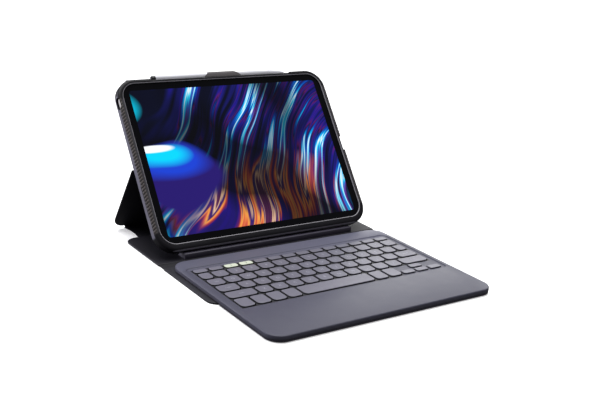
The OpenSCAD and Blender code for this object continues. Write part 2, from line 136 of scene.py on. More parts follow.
def round_edge(r, z, up, steps=4):
    """(inset, z) pairs of a quarter round, from the side to the top when up, else from below to the side."""
    pairs = []
    for i in range(steps + 1):
        a = math.pi / 2 * i / steps
        if up:
            pairs.append((r * (1 - math.cos(a)), z - r + r * math.sin(a)))
        else:
            pairs.append((r * (1 - math.sin(a)), z + r - r * math.cos(a)))
    return pairs


def slab(w, d, radii, z0, z1, edge, centre=(0, 0), n=16, edge_low=None):
    low = edge if edge_low is None else edge_low
    pairs = round_edge(low, z0, False) + round_edge(edge, z1, True)
    return loft([ring(w, d, radii, z, inset, centre, n) for inset, z in pairs])


def merged(parts):
    verts, faces = [], []
    for v, f in parts:
        base = len(verts)
        verts += v
        faces += [tuple(i + base for i in face) for face in f]
    return verts, faces


def lathe(x0, profile, steps=40):
    """Turned about the stylus' own axis: (x from x0, radius) pairs from end to end."""
    rows = []
    for x, r in profile:
        around = [math.tau * i / steps for i in range(steps)]
        rows.append([(x0 + x, STYLUS_U + r * math.cos(a), STYLUS_N + r * math.sin(a)) for a in around])
    return loft(rows)


def prism(points, axis, low, high):
    """A closed outline pulled along x, y or z."""
    at = {
        "x": lambda p, t: (t, p[0], p[1]),
        "y": lambda p, t: (p[0], t, p[1]),
        "z": lambda p, t: (p[0], p[1], t),
    }[axis]
    return loft([[at(p, low) for p in points], [at(p, high) for p in points]])


def block(x0, x1, y0, y1, z0, z1):
    return prism([(x0, y0), (x1, y0), (x1, y1), (x0, y1)], "z", z0, z1)


def apply_modifiers(obj, angle=30):
    graph = bpy.context.evaluated_depsgraph_get()
    mesh = bpy.data.meshes.new_from_object(obj.evaluated_get(graph))
    old = obj.data
    obj.modifiers.clear()
    obj.data = mesh
    bpy.data.meshes.remove(old)
    mesh.shade_smooth()
    mesh.set_sharp_from_angle(angle=math.radians(angle))
    return obj


def cut(obj, parts, place=WORLD, angle=30):
    cutter = mesh_object(obj.name + "_cutter", *merged(parts), place=place)
    mod = obj.modifiers.new("cut", "BOOLEAN")
    mod.operation = "DIFFERENCE"
    mod.solver = "EXACT"
    mod.use_self = True
    mod.object = cutter
    apply_modifiers(obj, angle)
    bpy.data.objects.remove(cutter)
    return obj


def bevelled(obj, width, segments=2, limit=40, angle=40):
    mod = obj.modifiers.new("bevel", "BEVEL")
    mod.width = width * MM
    mod.segments = segments
    mod.limit_method = "ANGLE"
    mod.angle_limit = math.radians(limit)
    mod.use_clamp_overlap = True
    return apply_modifiers(obj, angle)


def finish_piece(obj, body, material, slot, *nodes):
    obj.data.materials.clear()
    obj.data.materials.append(material)
    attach(obj, body)
    if nodes:
        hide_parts(*nodes)
    return obj


# ---- materials ----

class Nodes:
    """Small helper around one node tree."""

    def __init__(self, name):
        self.mat = bpy.data.materials.new(name)
        self.mat.use_nodes = True
        self.tree = self.mat.node_tree
        self.bsdf = next(n for n in self.tree.nodes if n.type == "BSDF_PRINCIPLED")
        self.coords = self.add("ShaderNodeTexCoord").outputs["Object"]

    def add(self, kind, **inputs):
        node = self.tree.nodes.new(kind)
        for key, value in inputs.items():
            self.feed(node.inputs[key.replace("_", " ")], value)
        return node

    def feed(self, socket, value):
        if isinstance(value, bpy.types.NodeSocket):
            self.tree.links.new(value, socket)
        else:
            socket.default_value = value

    def noise(self, scale, detail=2.0, rough=0.5, vector=None, distortion=0.0, colour=False):
        node = self.add("ShaderNodeTexNoise", Scale=scale, Detail=detail, Roughness=rough,
                        Distortion=distortion)
        self.feed(node.inputs["Vector"], vector or self.coords)
        return node.outputs[1 if colour else 0]

    def noise_offset(self, scale, amount):
        centred = self.vmath("SUBTRACT", self.noise(scale, 2, colour=True), (0.5, 0.5, 0.5))
        return self.vmath("MULTIPLY", centred, (amount, amount, amount))

    def voronoi(self, scale, vector=None, feature="F1"):
        node = self.add("ShaderNodeTexVoronoi", Scale=scale)
        node.feature = feature
        self.feed(node.inputs["Vector"], vector or self.coords)
        return node.outputs["Distance"]

    def spread(self, value, low, high, to_low, to_high):
        node = self.add("ShaderNodeMapRange")
        for i, v in enumerate((value, low, high, to_low, to_high)):
            self.feed(node.inputs[i], v)
        return node.outputs[0]

    def math(self, operation, a, b=0.0):
        node = self.add("ShaderNodeMath")
        node.operation = operation
        self.feed(node.inputs[0], a)
        self.feed(node.inputs[1], b)
        return node.outputs[0]

    def product(self, first, *others):
        for other in others:
            first = self.math("MULTIPLY", first, other)
        return first

    def vmath(self, operation, a, b=(0, 0, 0)):
        node = self.add("ShaderNodeVectorMath")
        node.operation = operation
        self.feed(node.inputs[0], a)
        self.feed(node.inputs[1], b)
        return node.outputs["Value" if operation in ("DOT_PRODUCT", "LENGTH") else "Vector"]

    def pack(self, x, y, z=0.0):
        node = self.add("ShaderNodeCombineXYZ")
        for socket, value in zip(node.inputs, (x, y, z)):
            self.feed(socket, value)
        return node.outputs[0]

    def mix(self, factor, a, b, blend="MIX"):
        node = self.add("ShaderNodeMix")
        node.data_type = "RGBA"
        node.blend_type = blend
        self.feed(node.inputs[0], factor)
        self.feed(node.inputs[6], a)
        self.feed(node.inputs[7], b)
        return node.outputs[2]

    def ramp(self, value, stops):
        node = self.add("ShaderNodeValToRGB")
        self.feed(node.inputs[0], value)
        elements = node.color_ramp.elements
        while len(elements) < len(stops):
            elements.new(0.5)
        for element, (place, colour) in zip(elements, stops):
            element.position = place
            element.color = rgba(colour)
        return node.outputs[0]

    def bump(self, height, strength, distance, below=None):
        node = self.add("ShaderNodeBump", Strength=strength, Distance=distance, Height=height)
        if below is not None:
            self.feed(node.inputs["Normal"], below)
        return node.outputs[0]

    def surface(self, colour=None, roughness=None, normal=None, **fixed):
        if colour is not None:
            self.feed(self.bsdf.inputs["Base Color"], colour)
        if roughness is not None:
            self.feed(self.bsdf.inputs["Roughness"], roughness)
        if normal is not None:
            self.feed(self.bsdf.inputs["Normal"], normal)
        for key, value in fixed.items():
            self.bsdf.inputs[key.replace("_", " ")].default_value = value
        return self.mat


def rgba(colour):
    return (*colour, 1.0) if len(colour) == 3 else colour


def shade(colour, factor):
    return rgba([min(1.0, c * factor) for c in colour[:3]])


# Places on the keyboard's top, in metres, that set where painted sheen and painted shade lie on its plastic
STRIP_FRONT, STRIP_BLUR = -0.0690, 0.0008
STRIP_X, STRIP_SHEEN_GAIN = (-0.11, 0.03), (1.2, 1.55)
WELL_HALF, WELL_FRONT = 0.1205, -0.170
KEYS_HALF_X, KEYS_HALF_Y = BLOCK_W / 2 * MM, sum(ROW_DEPTH) / 2 * MM
KEYS_BACK = ROW_BACK * MM
ARROWS_LEFT = KEYS_HALF_X - 3 * FN_PITCH * MM
ARROWS_BACK = (ROW_BACK - sum(ROW_DEPTH[:5])) * MM
GAP_TOP = 0.0064
PAINTED_SHADE_FACTOR = 0.07


def key_block_shading(t, body, dark, x, y, height):
    """Paints a sheen on the strip behind the keys, and keeps the painted shade to the well and the gaps
    between the keys.
    """
    # painted sheen: the strip behind the keys is lightened, more towards the right
    sheen_gain = t.spread(x, *STRIP_X, *STRIP_SHEEN_GAIN)
    strip = t.spread(y, STRIP_FRONT, STRIP_FRONT + STRIP_BLUR, 0, 1)
    body = t.mix(strip, body, t.pack(sheen_gain, sheen_gain, sheen_gain), "MULTIPLY")
    # painted shade, kept inside the well and filled into the gaps between the keys
    side = t.math("ABSOLUTE", x)
    dark = t.product(dark, t.math("LESS_THAN", side, WELL_HALF), t.math("GREATER_THAN", y, WELL_FRONT))
    depth = t.math("ABSOLUTE", t.math("ADD", y, KEYS_HALF_Y - KEYS_BACK))
    arrows = t.product(t.math("GREATER_THAN", x, ARROWS_LEFT), t.math("LESS_THAN", y, ARROWS_BACK))
    gaps = t.product(t.math("LESS_THAN", side, KEYS_HALF_X), t.math("LESS_THAN", depth, KEYS_HALF_Y),
                     t.math("SUBTRACT", 1.0, arrows), t.math("LESS_THAN", height, GAP_TOP))
    return body, t.math("MAXIMUM", dark, gaps)


def moulded(name, colour, rough=0.5, grain=2200, depth=0.25, vary=0.10, specular=0.5, low=None,
            key_block=False):
    """Moulded plastic, finely textured; low is a height range over which painted shade darkens it downward.
    """
    t = Nodes(name)
    broad = t.noise(18, 3)
    fine = t.noise(grain, 2, 0.6)
    body = t.mix(t.spread(broad, 0.3, 0.7, 0, 1), shade(colour, 1 - vary), shade(colour, 1 + vary))
    body = t.mix(t.spread(fine, 0.35, 0.75, 0, 0.30), body, shade(colour, 1.35))
    # painted shade: darker downward over the low height range
    if low:
        x, y, height = (t.vmath("DOT_PRODUCT", t.coords, axis) for axis in ((1, 0, 0), (0, 1, 0), (0, 0, 1)))
        dark = t.spread(height, *low, 1, 0)
        if key_block:
            body, dark = key_block_shading(t, body, dark, x, y, height)
        body = t.mix(dark, body, shade(colour, PAINTED_SHADE_FACTOR))
    roughness = t.spread(t.noise(60, 4), 0.3, 0.7, rough - 0.02, rough + 0.03)
    normal = t.bump(fine, depth, 0.00006)
    return t.surface(body, roughness, normal, Specular_IOR_Level=specular)


def leatherette(name, colour, rough=0.55, scale=1050, depth=0.45):
    """Polyurethane skin: pebbled grain, a soft sheen and slight scuffing."""
    t = Nodes(name)
    warped = t.vmath("ADD", t.coords, t.noise_offset(260, 0.0006))
    cells = t.voronoi(scale, vector=warped, feature="SMOOTH_F1")
    pores = t.noise(scale * 2.2, 2)
    height = t.math("ADD", t.spread(cells, 0.0, 0.7, 1, 0), t.math("MULTIPLY", pores, 0.35))
    broad = t.noise(14, 4)
    body = t.mix(t.spread(broad, 0.3, 0.7, 0, 1), shade(colour, 0.88), shade(colour, 1.12))
    body = t.mix(t.spread(cells, 0.15, 0.65, 0, 0.45), body, shade(colour, 0.55))
    scuffs = t.spread(t.noise(9, 6, 0.7, distortion=0.8), 0.55, 0.8, 0, 0.12)
    body = t.mix(scuffs, body, shade(colour, 1.8))
    roughness = t.spread(broad, 0.3, 0.7, rough - 0.06, rough + 0.08)
    normal = t.bump(height, depth, 0.00012)
    return t.surface(body, roughness, normal, Specular_IOR_Level=0.3)


def metal(name, colour, rough=0.35, grain=3000, brushed=None):
    """Bare metal with a fine grain, drawn out along one axis when brushed."""
    t = Nodes(name)
    vector = t.coords
    if brushed:
        vector = t.vmath("MULTIPLY", t.coords, brushed)
    fine = t.noise(grain, 3, 0.6, vector=vector)
    body = t.mix(t.spread(fine, 0.3, 0.7, 0, 1), shade(colour, 0.92), shade(colour, 1.06))
    roughness = t.spread(t.noise(40, 4), 0.3, 0.7, rough - 0.06, rough + 0.06)
    return t.surface(body, roughness, t.bump(fine, 0.2, 0.00003), Metallic=1.0)


def case_axes(t):
    """The rest position along the case's own right, up and outward directions, in metres."""
    turn = CASE.to_3x3().transposed()
    local = t.vmath("SUBTRACT", t.coords, tuple(SCREEN * MM))
    return [t.vmath("DOT_PRODUCT", local, tuple(turn[i])) for i in range(3)]


# Bands on the bumper, each as the two ends of its soft edge, in metres: from the centre line, or out of
# the glass
RIBS_FROM, WALL_FROM = (0.1240, 0.1244), (0.1266, 0.1270)
INNER_FROM, INNER_TO = (0.1208, 0.1212), (0.1238, 0.1243)
RIBS_END, RIBS_MID = (0.070, 0.073), 0.001
FRONT_FROM = (-0.0016, -0.0012)
RIB_PITCH, RIB_SLANT = 0.0034, 0.7
LIP_CORNER, LIP_R, LIP_LINE, LIP_FROM = (0.1058, 0.0709, 0), 0.0156, (0.0003, 0.0006), (0.0006, 0.0010)
RIM_LINE, RIM_FROM = (0.0008, 0.0012), (-0.0026, -0.0020)
# painted light on the black elastomer: pale walls, a dim inner band, lighter ribs and thin highlight lines
# along the lip and the rim; painted shade in the rib grooves
BUMPER_PAINTED_LIGHT_AND_SHADE = {
    "wall": (0.190, 0.185, 0.230, 1),
    "inner": (0.050, 0.047, 0.055, 1),
    "rib": (0.095, 0.082, 0.079, 1),
    "groove": (0.008, 0.007, 0.008, 1),
    "lip": (0.34, 0.33, 0.36, 1),
    "rim": (0.26, 0.25, 0.29, 1),
}


def bumper_material(name, colour):
    """Elastomer with slanting ribs on its left and right front edges; painted light on its walls, inner band,
    ribs, lip and rim, and painted shade in the rib grooves.
    """
    t = Nodes(name)
    x, u, n = case_axes(t)
    side = t.math("ABSOLUTE", x)
    straight = t.spread(t.math("ABSOLUTE", t.math("ADD", u, RIBS_MID)), *RIBS_END, 1, 0)
    ribbed = t.product(t.spread(side, *RIBS_FROM, 0, 1), straight, t.spread(n, *FRONT_FROM, 0, 1))
    along = t.math("ADD", u, t.math("MULTIPLY", side, RIB_SLANT))
    ribs = t.product(t.math("SINE", t.math("MULTIPLY", along, math.tau / RIB_PITCH)), ribbed)
    wall = t.product(t.spread(side, *WALL_FROM, 0, 1), t.spread(n, *FRONT_FROM, 1, 0))
    inner = t.product(t.spread(side, *INNER_TO, 1, 0), t.spread(side, *INNER_FROM, 0, 1), straight)
    corner = t.vmath("MAXIMUM", t.vmath("SUBTRACT", t.pack(side, t.math("ABSOLUTE", u)), LIP_CORNER))
    from_lip = t.math("ABSOLUTE", t.math("SUBTRACT", t.vmath("LENGTH", corner), LIP_R))
    lip = t.product(t.spread(from_lip, *LIP_LINE, 1, 0), t.spread(n, *LIP_FROM, 0, 1))
    foot = (CASE_MID - CASE_D / 2) * MM
    rim = t.product(t.spread(u, foot + RIM_LINE[0], foot + RIM_LINE[1], 1, 0), t.spread(n, *RIM_FROM, 0, 1))

    fine, broad = t.noise(2600, 2, 0.6), t.noise(20, 3)
    body = t.mix(t.spread(broad, 0.3, 0.7, 0, 1), shade(colour, 0.88), shade(colour, 1.15))
    # painted light on the walls, inner band, ribs, lip and rim, and painted shade in the grooves
    body = t.mix(wall, body, BUMPER_PAINTED_LIGHT_AND_SHADE["wall"])
    body = t.mix(inner, body, BUMPER_PAINTED_LIGHT_AND_SHADE["inner"])
    body = t.mix(ribbed, body, BUMPER_PAINTED_LIGHT_AND_SHADE["rib"])
    body = t.mix(t.product(t.spread(ribs, -1, 0.4, 1, 0), ribbed), body, BUMPER_PAINTED_LIGHT_AND_SHADE["groove"])
    body = t.mix(lip, body, BUMPER_PAINTED_LIGHT_AND_SHADE["lip"])
    body = t.mix(rim, body, BUMPER_PAINTED_LIGHT_AND_SHADE["rim"])
    roughness = t.spread(t.noise(50, 4), 0.3, 0.7, 0.36, 0.46)
    normal = t.bump(fine, 0.2, 0.00005, below=t.bump(ribs, 0.7, 0.00022))
    return t.surface(body, roughness, normal, Specular_IOR_Level=0.22)


# The picture is drawn in its own units, PICTURE_SCALE of them to a metre. The strand colours go by the
# strand's value.
PICTURE_SCALE = 8.8
COOL = [
    (0.0, (0, 0, 0.002)), (0.38, (0.001, 0.002, 0.012)), (0.44, (0.006, 0.007, 0.10)),
    (0.475, (0.012, 0.008, 0.23)), (0.495, (0.10, 0.008, 0.09)), (0.505, (0.002, 0.004, 0.04)),
    (0.545, (0.003, 0.05, 0.42)), (0.572, (0.0, 0.50, 0.86)), (0.590, (0.85, 0.92, 1.0)),
    (0.606, (0.02, 0.70, 0.95)), (0.63, (0.01, 0.12, 0.55)), (0.655, (0.12, 0.03, 0.26)),
    (0.69, (0.002, 0.002, 0.03)), (0.76, (0.0, 0.16, 0.34)),
]
WARM = [
    (0.0, (0.001, 0.001, 0.008)), (0.40, (0.010, 0.006, 0.10)), (0.45, (0.012, 0.005, 0.16)),
    (0.480, (0.20, 0.02, 0.05)), (0.505, (0.62, 0.10, 0.05)), (0.530, (0.85, 0.34, 0.06)),
    (0.550, (0.10, 0.02, 0.10)), (0.575, (0.02, 0.01, 0.14)), (0.600, (0.80, 0.50, 0.30)),
    (0.62, (0.10, 0.02, 0.08)), (0.72, (0.004, 0.002, 0.02)),
]
WARM_CENTRE, WARM_STRETCH, WARM_FADE = (-0.12, -0.55, 0), (0.85, 1.35, 1), (0.42, 0.70)
# soft pools of light at the left: place, half sizes, where the fade starts, colour
POOLS = [
    ((-0.74, -0.20), (0.42, 0.46), 0.75, (0.018, 0.008, 0.14)),
    ((-1.12, 0.50), (0.24, 0.17), 0.25, (0.0, 0.62, 0.88)),
    ((-0.78, 0.03), (0.42, 0.19), 0.45, (0.010, 0.05, 0.60)),
    ((-0.86, 0.07), (0.32, 0.11), 0.40, (0.0, 0.62, 0.95)),
    ((-0.92, 0.125), (0.22, 0.045), 0.75, (0.95, 0.97, 1.0)),
]


def picture_material(name):
    """A generic picture of silky strands, glowing behind the cover glass."""
    t = Nodes(name)
    x, u = (t.math("MULTIPLY", axis, PICTURE_SCALE) for axis in case_axes(t)[:2])
    p = t.pack(x, u)

    def centred(scale, detail, rough, seed):
        return t.math("SUBTRACT", t.noise(scale, detail, rough, vector=t.vmath("ADD", p, seed)), 0.5)

    def layer(detail, rough, across, along):
        lengthwise = [t.math("MULTIPLY", axis, along) for axis in (x, u)]
        vector = t.pack(t.math("MULTIPLY", flow, across), *lengthwise)
        return t.noise(1.0, detail, rough, vector=vector)

    sway = centred(0.8, 0.5, 0.35, (1.1, 9.6, 0))
    curl = centred(2.1, 0.0, 0.4, (6.2, 1.3, 0))
    left = t.vmath("LENGTH", t.vmath("SUBTRACT", p, (-1.35, 1.5, 0)))
    right = t.vmath("LENGTH", t.vmath("SUBTRACT", p, (1.9, -0.6, 0)))
    flow = t.math("SUBTRACT", t.math("MULTIPLY", right, 1.25), left)
    flow = t.math("ADD", flow, t.math("ADD", t.math("MULTIPLY", sway, 2.2), t.math("MULTIPLY", curl, 0.30)))
    bands, strands = layer(1.5, 0.45, 3.6, 0.8), layer(2, 0.5, 22, 0.9)
    share = t.spread(t.math("ADD", x, sway), -0.5, 0.3, 0.05, 0.24)
    value = t.math("ADD", t.product(bands, t.math("SUBTRACT", 1.0, share)), t.product(strands, share))

    warmth = t.vmath("LENGTH", t.vmath("MULTIPLY", t.vmath("SUBTRACT", p, WARM_CENTRE), WARM_STRETCH))
    warmth = t.spread(t.math("ADD", warmth, sway), *WARM_FADE, 1, 0)
    colour = t.mix(warmth, t.ramp(value, COOL), t.ramp(value, WARM))
    dusk = t.noise(1.25, 0.5, 0.4, vector=t.vmath("ADD", p, (5.7, 2.9, 0)))
    dusk = t.spread(dusk, 0.42, 0.58, 0.10, 1)
    colour = t.mix(1.0, colour, t.pack(dusk, dusk, dusk), "MULTIPLY")
    for place, size, soft, tint in POOLS:
        away = t.vmath("DIVIDE", t.vmath("SUBTRACT", p, (*place, 0)), (*size, 1))
        away = t.math("ADD", t.vmath("LENGTH", away), t.math("MULTIPLY", curl, 1.5))
        away = t.math("ADD", away, t.math("MULTIPLY", sway, 0.8))
        colour = t.mix(t.spread(away, soft, 1.0, 1, 0), colour, rgba(tint))
    t.feed(t.bsdf.inputs["Emission Color"], colour)
    roughness = t.spread(t.noise(30, 3), 0.3, 0.7, 0.05, 0.09)
    return t.surface((0.004, 0.004, 0.006, 1), roughness, Emission_Strength=1.15, Specular_IOR_Level=0.15)


BUMPER_BLACK = (0.006, 0.0055, 0.008)
# height ranges over which painted shade darkens the keyboard's well and the sides of the keys
WELL_PAINTED_SHADE = (0.0050, 0.0058)
KEY_PAINTED_SHADE = (0.0065, 0.0069)
COVER = leatherette("cover_skin", (0.011, 0.0103, 0.0155))
FOLD = leatherette("fold_skin", (0.007, 0.0065, 0.010), rough=0.6)
BUMPER = bumper_material("bumper_elastomer", BUMPER_BLACK)
SHELL = moulded("shell_elastomer", BUMPER_BLACK, 0.5)
CLASP = moulded("clasp_elastomer", (0.070, 0.062, 0.066), 0.55, depth=0.3)
RIDGE = moulded("ridge_plastic", (0.040, 0.036, 0.056), 0.5)
# the keyboard top also carries a painted sheen on the strip behind the keys
KB_TOP = moulded("keyboard_top_plastic", (0.054, 0.054, 0.080), 0.46, depth=0.3, vary=0.025, specular=0.36,
                 low=WELL_PAINTED_SHADE, key_block=True)
KB_LOW = moulded("keyboard_bottom_plastic", (0.020, 0.017, 0.032), 0.5)
KEY = moulded("key_plastic", (0.122, 0.118, 0.152), 0.42, depth=0.15, vary=0.05, low=KEY_PAINTED_SHADE)
PALE_KEY = moulded("pale_key_plastic", (0.53, 0.57, 0.46), 0.45, depth=0.15, vary=0.04, low=KEY_PAINTED_SHADE)
INK = moulded("legend_ink", (0.30, 0.30, 0.36), 0.5, depth=0.0)
DARK_INK = moulded("dark_legend_ink", (0.14, 0.15, 0.12), 0.5, depth=0.0)
PICTURE = picture_material("display_picture")
GLASS = moulded("cover_glass_border", (0.002, 0.002, 0.003), 0.10, depth=0.0, vary=0.2, specular=0.15)
TABLET = metal("tablet_aluminium", (0.60, 0.60, 0.63), 0.38)
SATIN = moulded("satin_silver", (0.74, 0.72, 0.69), 0.35, depth=0.1, vary=0.03)
STEEL = metal("plated_steel", (0.62, 0.62, 0.64), 0.3, brushed=(1, 30, 1))
FOIL = metal("battery_foil", (0.60, 0.61, 0.63), 0.45, grain=900)
WHITE = moulded("stylus_white", (0.70, 0.70, 0.75), 0.32, depth=0.08, vary=0.02)
DARK_GLOSS = moulded("dark_gloss", (0.012, 0.012, 0.014), 0.18, depth=0.05)
FOOT = moulded("foot_rubber", (0.02, 0.02, 0.022), 0.7, grain=1500, depth=0.4)
BOARD = moulded("fibre_board", (0.22, 0.20, 0.15), 0.7, grain=900, depth=0.4)
CIRCUIT = moulded("circuit_lacquer", (0.01, 0.10, 0.04), 0.3, grain=700)
FILM = moulded("membrane_film", (0.55, 0.56, 0.52), 0.35)
SWITCH = moulded("switch_plastic", (0.06, 0.28, 0.11), 0.4)


def dress(material, *nodes):
    """Gives a material to carried-over CAD nodes."""
    for name in nodes:
        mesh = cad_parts[name].data
        if mesh.materials:
            mesh.materials[0] = material
        else:
            mesh.materials.append(material)


dress(SHELL, "case_back", "volume_rocker", "bumper_frame")
dress(COVER, "base_panel", "flap_panel", "kick_panel", "back_panel")
dress(FOLD, "spine_strip", "rear_fold", "front_fold", "mid_fold")
dress(BOARD, "base_stiffener", "flap_stiffener", "kick_stiffener", "back_stiffener")
dress(STEEL, "ridge_magnets", "flap_magnets", "kb_magnets", "charge_port")
dress(TABLET, "tablet_housing")
dress(SATIN, "tablet_power_button")
dress(GLASS, "tablet_glass")
dress(DARK_GLOSS, "tablet_camera", "stylus_cap")
dress(WHITE, "stylus_barrel", "stylus_tip")
dress(CLASP, "stylus_clasp")
dress(RIDGE, "support_ridge")
dress(KB_TOP, "kb_top_case")
dress(KB_LOW, "kb_bottom_case")
dress(FOOT, "kb_feet")
dress(FOIL, "kb_battery")
dress(CIRCUIT, "kb_circuit_board")
dress(FILM, "key_membrane")
dress(SWITCH, "kb_power_switch")


# ---- cover panels ----

PANEL_EDGE_R, FOLD_CORNER_R = 0.85, 0.8
BACK_T, BACK_Z, BACK_INSET = 1.8, -10.2, 3
BACK_START, BACK_LEN = 1.5, 88.5
# centre, size and corner radius of the camera's window
CAMERA_WINDOW = (-97, 63, 35, 10.5)


def panel(name, w, l, corner, y0, place, body, node, t=COVER_T, z0=0.0, far_up=True, hole=None):
    """A board wrapped in leatherette: far corners rounded, all edges turned softly."""
    radii = (corner, corner, FOLD_CORNER_R, FOLD_CORNER_R)
    if not far_up:
        radii = radii[::-1]
    sheet = slab(w, l, radii, z0, z0 + t, PANEL_EDGE_R, (0, y0 + l / 2))
    obj = mesh_object(name, *sheet, place=place, angle=50)
    if hole:
        cx, cy, size, r = hole
        cut(obj, [prism(outline(size, size, r, (cx, cy)), "z", z0 - 5, z0 + t + 5)], place, 50)
    return finish_piece(obj, body, COVER, "folio_cover", node)


panel("base_cover", COVER_W, BASE_LEN, COVER_R, BASE_FRONT, WORLD, "base", "base_panel")
panel("flap_cover", COVER_W, FLAP_LEN, COVER_R, FLAP_FRONT, WORLD, "flap", "flap_panel", far_up=False)
panel("kick_cover", CASE_W, KICK_LEN - 2 * FOLD_HALF, COVER_R, FOLD_HALF, KICK, "kick", "kick_panel",
      z0=-COVER_T / 2)
panel("back_cover", CASE_W - BACK_INSET, BACK_LEN, CASE_R - BACK_INSET, BACK_START, CASE, "case",
      "back_panel", t=BACK_T, z0=BACK_Z, hole=CAMERA_WINDOW)


# ---- soft fold strips ----

def strip(name, path, thickness, half_w, ends, bodies, node, waist=0.0, steps=36):
    """A soft strip along a path of (y, z) points, creased across, its thickness centred on the path."""
    rows = []
    n = len(path)
    for k, (y, z) in enumerate(path):
        y0, z0 = path[max(k - 1, 0)]
        y1, z1 = path[min(k + 1, n - 1)]
        length = math.hypot(y1 - y0, z1 - z0)
        ny, nz = -(z1 - z0) / length, (y1 - y0) / length
        s = k / (n - 1)
        half = half_w - waist * math.sin(math.pi * s)
        upper, lower = [], []
        for i in range(steps + 1):
            x = half * (2 * i / steps - 1)
            wave = 0.06 * math.sin(x * 0.31 + 1.7 * s) * math.sin(math.pi * s)
            thin = thickness / 2 * (0.72 + 0.28 * abs(2 * s - 1)) * (0.6 if i in (0, steps) else 1.0)
            upper.append((x, y + ny * (thin + wave), z + nz * (thin + wave)))
            lower.append((x, y - ny * (thin - wave), z - nz * (thin - wave)))
        rows.append(upper + lower[::-1])
    obj = mesh_object(name, *loft(rows), angle=60)
    obj.data.materials.append(FOLD)
    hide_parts(node)
    if len(bodies) == 1:
        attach(obj, bodies[0])
    else:
        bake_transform(obj)
    return obj


def between(a, b, steps):
    return [(a[0] + (b[0] - a[0]) * i / steps, a[1] + (b[1] - a[1]) * i / steps) for i in range(steps)]


def bend(corner, a, b, radius, steps=8):
    """Points round a corner from the direction of a to the direction of b."""
    c = Vector(corner)
    start = c + (Vector(a) - c).normalized() * radius
    end = c + (Vector(b) - c).normalized() * radius
    shares = [i / steps for i in range(steps + 1)]
    return [tuple(start * (1 - t) ** 2 + c * 2 * t * (1 - t) + end * t * t) for t in shares]


def side_point(place, y, z):
    """The (y, z) in the world of a point on a local frame's middle plane."""
    point = place @ Vector((0, y, z))
    return point.y, point.z


BACK_MID_Z = BACK_Z + BACK_T / 2
FOLD_Z, SPINE_START = 0.92, 44.2


def front_fold():
    path = [(-33.2 - i * 0.97, FOLD_Z - 0.10 * math.sin(math.pi * i / 12)) for i in range(13)]
    ends = ((0, -0.0345, 0.001), (0, -0.0435, 0.001))
    strip("front_fold_skin", path, 1.25, COVER_W / 2 - 0.6, ends, ("base", "flap"), "front_fold")


def mid_fold():
    low, high = side_point(KICK, 3.6, 0), side_point(CASE, 2.6, BACK_MID_Z)
    corner = (MID_FOLD.y, MID_FOLD.z)
    path = between(low, corner, 4)[:2] + bend(corner, low, high, 2.1) + [high]
    ends = (KICK @ Vector((0, 2.1, 0)) * MM, CASE @ Vector((0, 1.1, BACK_MID_Z)) * MM)
    strip("mid_fold_skin", path, 1.2, CASE_W / 2 - 2.2, ends, ("kick", "case"), "mid_fold")


def rear_fold():
    low, high = (REAR_FOLD.y - 3.2, 0.9), side_point(KICK, KICK_LEN - 3.6, 0)
    corner = (REAR_FOLD.y + 0.1, REAR_FOLD.z)
    path = [low] + bend(corner, low, high, 2.0) + [high]
    ends = (Vector((0, REAR_FOLD.y - 2.2, 0.9)) * MM, KICK @ Vector((0, KICK_LEN - 2.2, 0)) * MM)
    strip("rear_fold_skin", path, 1.1, 113.0, ends, ("base", "kick"), "rear_fold")


def spine():
    step = (REAR_FOLD.y - 3.0 - SPINE_START) / 24
    path = [(SPINE_START + i * step, FOLD_Z + 0.05 * math.sin(i * 0.9)) for i in range(25)]
    strip("spine_skin", path, 1.2, 114.6, None, ("base",), "spine_strip", waist=2.2)


front_fold()
mid_fold()
rear_fold()
spine()


# ---- bumper case ----

# The bumper's openings about the screen's centre: width, depth, corner radius
BACK_OPENING = (243.8, 174.7, 16.1)
FRONT_OPENING = (242.4, 172.6, 15.4)
TABLET_ROOM = (247.8, 178.7, 18.1)
ROOM_TOP, ROOM_LOW = 0.1, -6.3
BACK_EDGE_R = 1.0
FRONT_EDGE_IN, FRONT_EDGE_UP, FRONT_EDGE_STEPS = 3.2, 2.6, 8
# the lip's inner edge: inset of the front opening, drop from the lip's top
LIP_EDGE = [(-0.55, 0), (-0.28, 0.08), (-0.08, 0.28), (0, 0.55), (0, LIP_Z)]
# the stylus' channel: half its length, its floor, and the round of its front wall
CHANNEL_HALF, CHANNEL_FLOOR, CHANNEL_OUT = 86.5, 89.2, 97
WALL_U, WALL_N, WALL_R = 88.4, 0.3, 1.2
OUTSIDE, WALL_INSIDE = 130, 122.5
SLOT_N = -1.8


def bumper_openings():
    """Solids to cut away: stylus channel, speaker slots, microphone, power button, port and rocker."""
    quarter = [math.pi / 2 * i / 5 for i in range(6)]
    wall = [(WALL_U + WALL_R, 0)]
    wall += [(WALL_U + WALL_R * math.cos(a), WALL_N + WALL_R * math.sin(a)) for a in quarter]
    wall += [(WALL_U, LIP_Z + 1), (CHANNEL_OUT, LIP_Z + 1), (CHANNEL_OUT, 0)]
    parts = [
        block(-CHANNEL_HALF, CHANNEL_HALF, CHANNEL_FLOOR, CHANNEL_OUT, SHELL_Z - 1, ROOM_TOP),
        prism(wall, "x", -CHANNEL_HALF, CHANNEL_HALF),
    ]
    for x0, x1 in ((-OUTSIDE, -WALL_INSIDE), (WALL_INSIDE, OUTSIDE)):
        for u in (-39, 39):
            parts.append(prism(outline(33, 1.3, 0.62, (u, SLOT_N), 4), "x", x0, x1))
    parts.append(prism(outline(1.6, 1.6, 0.79, (0, SLOT_N), 4), "x", -OUTSIDE, -WALL_INSIDE))
    parts.append(prism(outline(13, 7, 3.3, (POWER_U, POWER_N), 6), "x", -OUTSIDE, -TABLET_SIDE - 0.07))
    parts.append(prism(outline(17, 10, 1.2, (0, -1.5), 5), "x", TABLET_SIDE + 0.05, OUTSIDE))
    parts.append(prism(outline(15.4, 3.6, 1.6, (-105, -3), 5), "y", 88.9, 95))
    return parts


